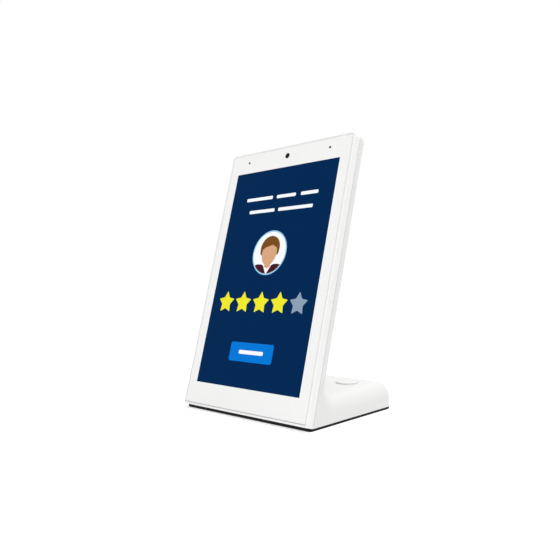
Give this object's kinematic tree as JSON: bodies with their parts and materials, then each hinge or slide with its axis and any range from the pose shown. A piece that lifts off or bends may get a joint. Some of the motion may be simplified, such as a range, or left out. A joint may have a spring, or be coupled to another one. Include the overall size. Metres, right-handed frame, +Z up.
{
  "type": "customer feedback tablet",
  "caption": "Leaning portrait touch screen in a white frame on a rounded white foot with a round push button, black bottom and rear sockets, showing a star rating page.",
  "frame": {"origin": "middle of the footprint, on the plane that the feet stand on", "axes": "+Z up, the screen faces -Y, +X is on the right of someone facing the screen"},
  "size_m": [0.1636, 0.128, 0.2576],
  "materials": {
    "white_shell": "satin moulded white",
    "cover_glass": "polished, white print behind its border",
    "screen": "lit display panel",
    "clear_plastic": "clear acrylic",
    "black_plastic": "fine grain moulded black",
    "rubber": "matte",
    "foam": "closed-cell foam and adhesive",
    "steel": "plated",
    "aluminium": "rolled",
    "circuit_board": "solder mask",
    "chip": "moulded epoxy",
    "flex": "polyimide film",
    "cable": "flat cable",
    "plug": "moulded nylon",
    "contact": "gold flash",
    "plunger": "moulded"
  },
  "bodies": {
    "housing": {"cover_glass": "cover_glass", "glass_tape": "foam", "touch_sensor": "clear_plastic", "display_panel": "screen", "light_guide": "clear_plastic", "backlight_tray": "steel", "front_frame": "white_shell", "chassis_plate": "steel", "chassis_screws": "steel", "main_board": "circuit_board", "board_screws": "steel", "processor_chip": "chip", "memory_chips": "chip", "power_parts": "chip", "board_plugs": "plug", "thermal_pad": "foam", "heat_spreader": "aluminium", "display_flex": "flex", "camera_housing": "chip", "camera_lens": "black_plastic", "microphone_boots": "rubber", "microphones": "steel", "sensor_flex": "flex", "speaker_boxes": "black_plastic", "speaker_cones": "black_plastic", "speaker_gaskets": "foam", "wireless_antennas": "flex", "rear_shell": "white_shell", "shell_screws": "steel", "bottom_cover": "black_plastic", "cover_screws": "steel", "rubber_feet": "rubber", "ballast_plate": "steel", "socket_board": "circuit_board", "socket_board_screws": "steel", "network_socket": "black_plastic", "network_contacts": "contact", "power_socket": "black_plastic", "power_socket_pin": "steel", "usb_socket": "steel", "usb_tongue": "plug", "usb_c_socket": "steel", "usb_c_tongue": "chip", "socket_cable": "cable", "button_spring": "steel", "switch_board": "circuit_board", "switch_body": "chip", "switch_screws": "steel", "switch_cable": "cable"},
    "button": {"power_button": "white_shell", "switch_plunger": "plunger"}
  },
  "joints": [
    {"name": "button_press", "type": "slide", "parent": "housing", "child": "button", "axis": [0, 0, -1], "range_m": [0, 0.001], "stiffness_N_per_m": 1500, "springref_m": -0.001, "deforming": ["button_spring"]}
  ]
}
